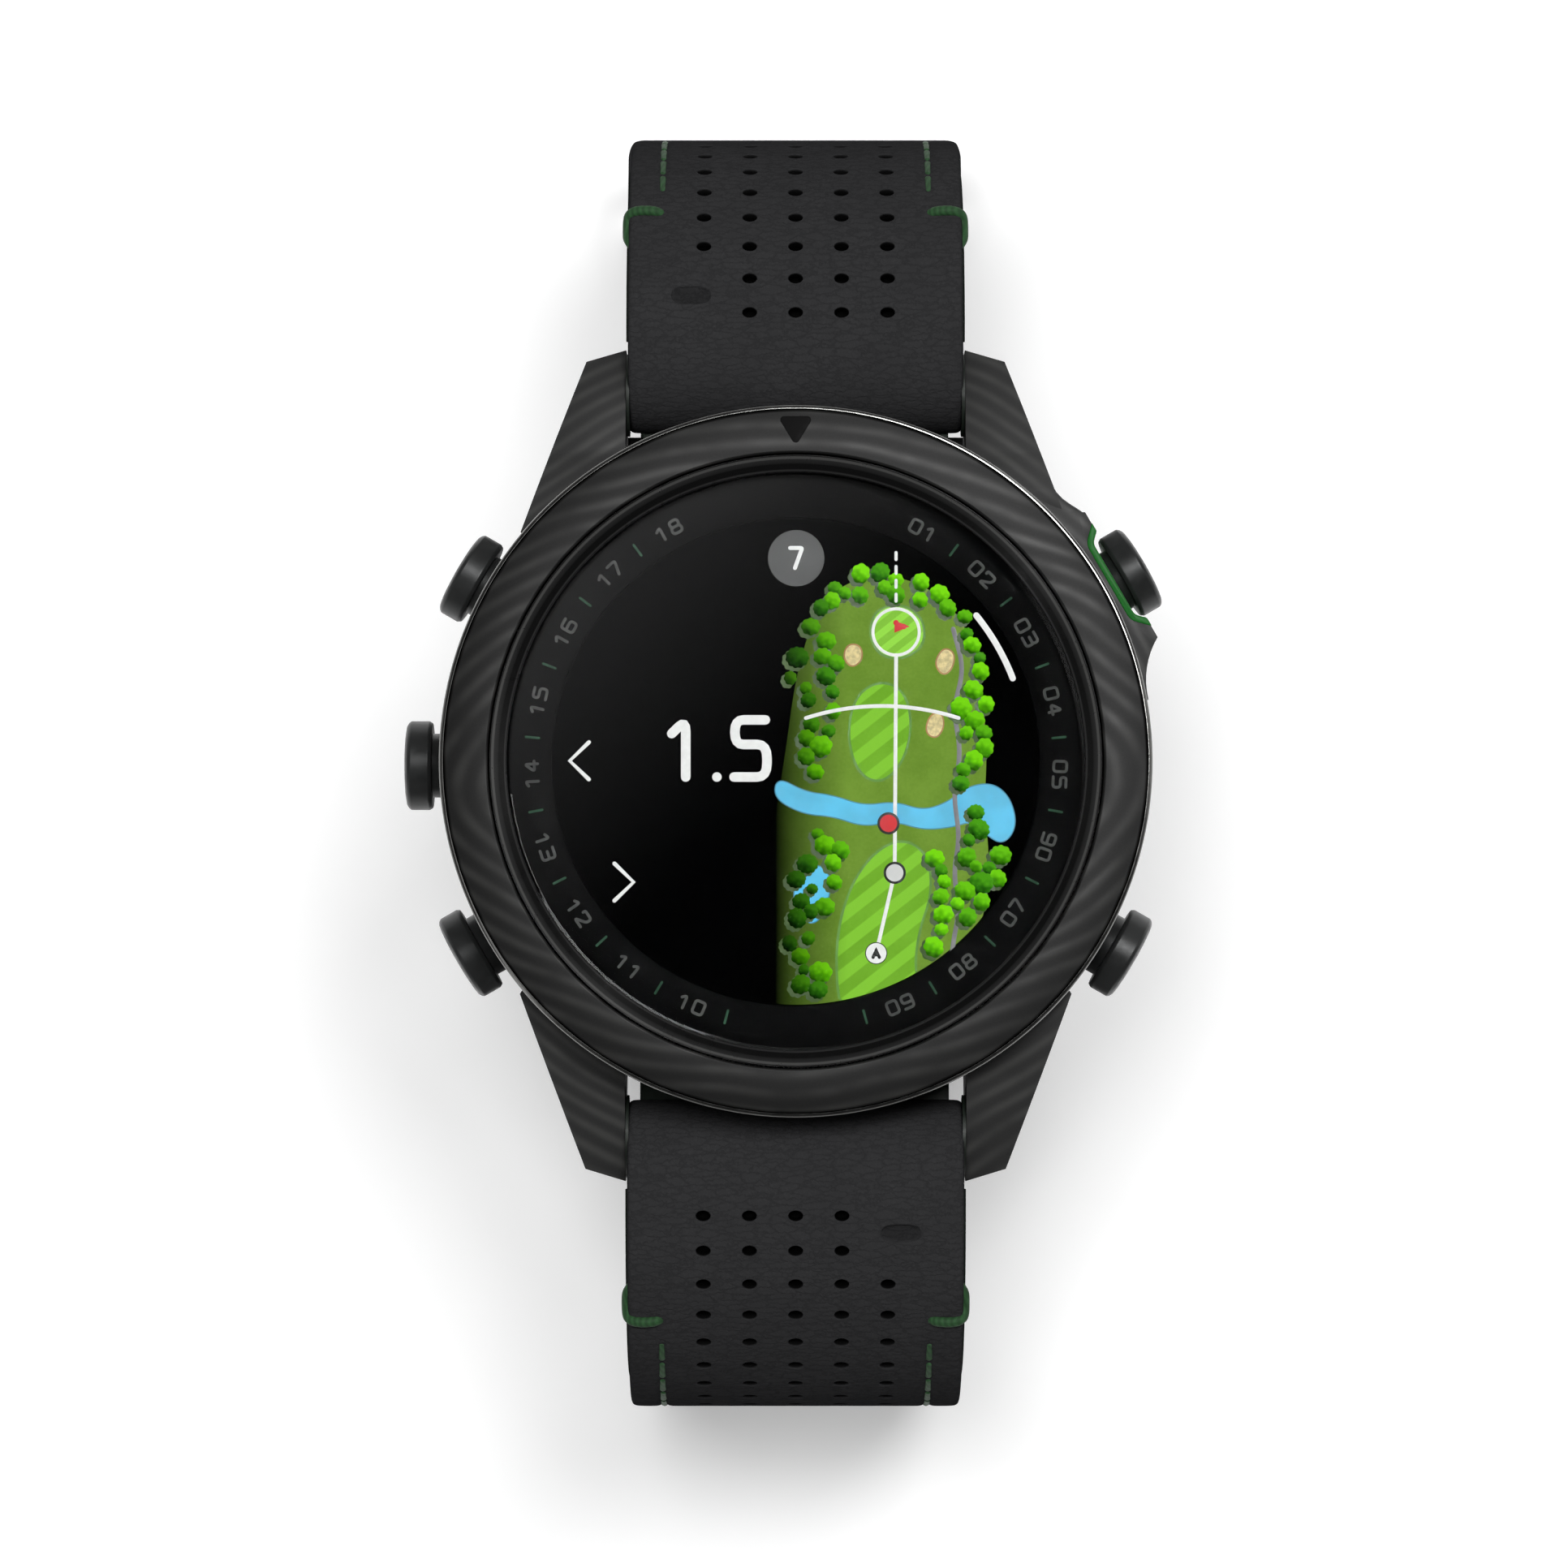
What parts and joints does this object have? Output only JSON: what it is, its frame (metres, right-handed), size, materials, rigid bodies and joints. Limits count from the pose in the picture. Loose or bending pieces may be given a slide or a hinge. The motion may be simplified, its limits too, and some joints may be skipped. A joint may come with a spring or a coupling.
{
  "type": "golf gps watch",
  "caption": "Round sports watch with a rotating carbon bezel, side push buttons, a lit golf map and a perforated leather strap with a pin buckle.",
  "frame": {"origin": "on the table under the dial's centre, at the foot of the strap's loop", "axes": "+Z out of the dial, +Y to twelve o'clock, +X to three o'clock"},
  "size_m": [0.0498, 0.0882, 0.05],
  "materials": {
    "carbon": "layered carbon composite, satin",
    "green_metal": "green anodised aluminium",
    "bright_metal": "polished rim",
    "black_metal": "black polished coating",
    "pip_black": "black enamel",
    "spring_steel": "drawn spring steel",
    "lens_glass": "clear glass",
    "seal_rubber": "black rubber",
    "ring_print": "printed ring",
    "display": "lit display",
    "ribbon": "flexible ribbon",
    "dark_plastic": "moulded plastic",
    "antenna": "antenna carrier",
    "board_green": "circuit board",
    "tin_metal": "tinned sheet",
    "battery_foil": "foil pouch",
    "cover_metal": "brushed titanium",
    "sensor_glass": "dark optical window",
    "gold": "gold-plated contacts",
    "leather": "dark grey pebbled leather",
    "lining": "soft dark lining",
    "thread": "green waxed thread",
    "block": "moulded end block"
  },
  "bodies": {
    "case": {"mid_case": "carbon", "button_guard": "green_metal", "bezel_wire": "spring_steel", "bezel_click_spring": "spring_steel", "lens_ring": "black_metal", "lens": "lens_glass", "lens_gasket": "seal_rubber", "dial_ring": "ring_print", "display_panel": "display", "display_flex": "ribbon", "inner_frame": "dark_plastic", "gps_antenna": "antenna", "main_board": "board_green", "shield_can": "tin_metal", "battery": "battery_foil", "vibration_motor": "tin_metal", "tact_switches": "dark_plastic", "rear_cover": "cover_metal", "rear_gasket": "seal_rubber", "rear_screws": "spring_steel", "sensor_window": "sensor_glass", "sensor_board": "board_green", "charge_insulator": "dark_plastic", "charge_contacts": "gold", "button_seals": "seal_rubber", "lug_bars": "spring_steel", "lug_screws": "black_metal", "button_light_spring": "spring_steel", "button_up_spring": "spring_steel", "button_down_spring": "spring_steel", "button_start_spring": "spring_steel", "button_back_spring": "spring_steel"},
    "bezel": {"bezel_ring": "bright_metal", "bezel_inlay": "carbon", "bezel_pip": "pip_black"},
    "strap_12": {"strap_12_leather": "leather", "strap_12_lining": "lining", "strap_12_stitching": "thread", "strap_12_end_block": "block", "buckle_bar": "spring_steel", "fixed_keeper": "leather"},
    "strap_6": {"strap_6_leather": "leather", "strap_6_lining": "lining", "strap_6_stitching": "thread", "strap_6_end_block": "block"},
    "latch_12": {"strap_12_latch": "spring_steel"},
    "latch_6": {"strap_6_latch": "spring_steel"},
    "buckle": {"buckle_frame": "black_metal"},
    "tang": {"buckle_tang": "black_metal"},
    "keeper": {"sliding_keeper": "leather"},
    "light_button": {"button_light": "black_metal", "button_light_clip": "spring_steel"},
    "up_button": {"button_up": "black_metal", "button_up_clip": "spring_steel"},
    "down_button": {"button_down": "black_metal", "button_down_clip": "spring_steel"},
    "start_button": {"button_start": "black_metal", "button_start_clip": "spring_steel"},
    "back_button": {"button_back": "black_metal", "button_back_clip": "spring_steel"}
  },
  "joints": [
    {"name": "bezel_turn", "type": "hinge", "parent": "case", "child": "bezel", "pos_m": [0, 0, 0.0485], "axis": [0, 0, 1], "continuous": true},
    {"name": "strap_12_swing", "type": "hinge", "parent": "case", "child": "strap_12", "pos_m": [0, 0.0243, 0.0424], "axis": [1, 0, 0], "range_deg": [0, 45]},
    {"name": "strap_6_swing", "type": "hinge", "parent": "case", "child": "strap_6", "pos_m": [0, -0.0243, 0.0424], "axis": [-1, 0, 0], "range_deg": [0, 45]},
    {"name": "latch_12_slide", "type": "slide", "parent": "strap_12", "child": "latch_12", "axis": [0, 1, 0], "range_m": [0, 0.0008], "stiffness_N_per_m": 300},
    {"name": "latch_6_slide", "type": "slide", "parent": "strap_6", "child": "latch_6", "axis": [0, -1, 0], "range_m": [0, 0.0008], "stiffness_N_per_m": 300},
    {"name": "buckle_swing", "type": "hinge", "parent": "strap_12", "child": "buckle", "pos_m": [0, 0.0236, 0.0014], "axis": [-1, 0, 0], "range_deg": [-20, 60]},
    {"name": "tang_swing", "type": "hinge", "parent": "buckle", "child": "tang", "pos_m": [0, 0.0236, 0.0014], "axis": [1, 0, 0], "range_deg": [0, 70]},
    {"name": "keeper_slide", "type": "hinge", "parent": "strap_12", "child": "keeper", "pos_m": [0, 0.0245, 0.018], "axis": [1, 0, 0], "range_deg": [0, 14]},
    {"name": "light_press", "type": "slide", "parent": "case", "child": "light_button", "axis": [0.866, -0.5, 0], "range_m": [0, 0.0005], "stiffness_N_per_m": 1500, "deforming": ["button_light_spring"]},
    {"name": "up_press", "type": "slide", "parent": "case", "child": "up_button", "axis": [1, 0, 0], "range_m": [0, 0.0005], "stiffness_N_per_m": 1500, "deforming": ["button_up_spring"]},
    {"name": "down_press", "type": "slide", "parent": "case", "child": "down_button", "axis": [0.866, 0.5, 0], "range_m": [0, 0.0005], "stiffness_N_per_m": 1500, "deforming": ["button_down_spring"]},
    {"name": "start_press", "type": "slide", "parent": "case", "child": "start_button", "axis": [-0.866, -0.5, 0], "range_m": [0, 0.0005], "stiffness_N_per_m": 1500, "deforming": ["button_start_spring"]},
    {"name": "back_press", "type": "slide", "parent": "case", "child": "back_button", "axis": [-0.866, 0.5, 0], "range_m": [0, 0.0005], "stiffness_N_per_m": 1500, "deforming": ["button_back_spring"]}
  ]
}
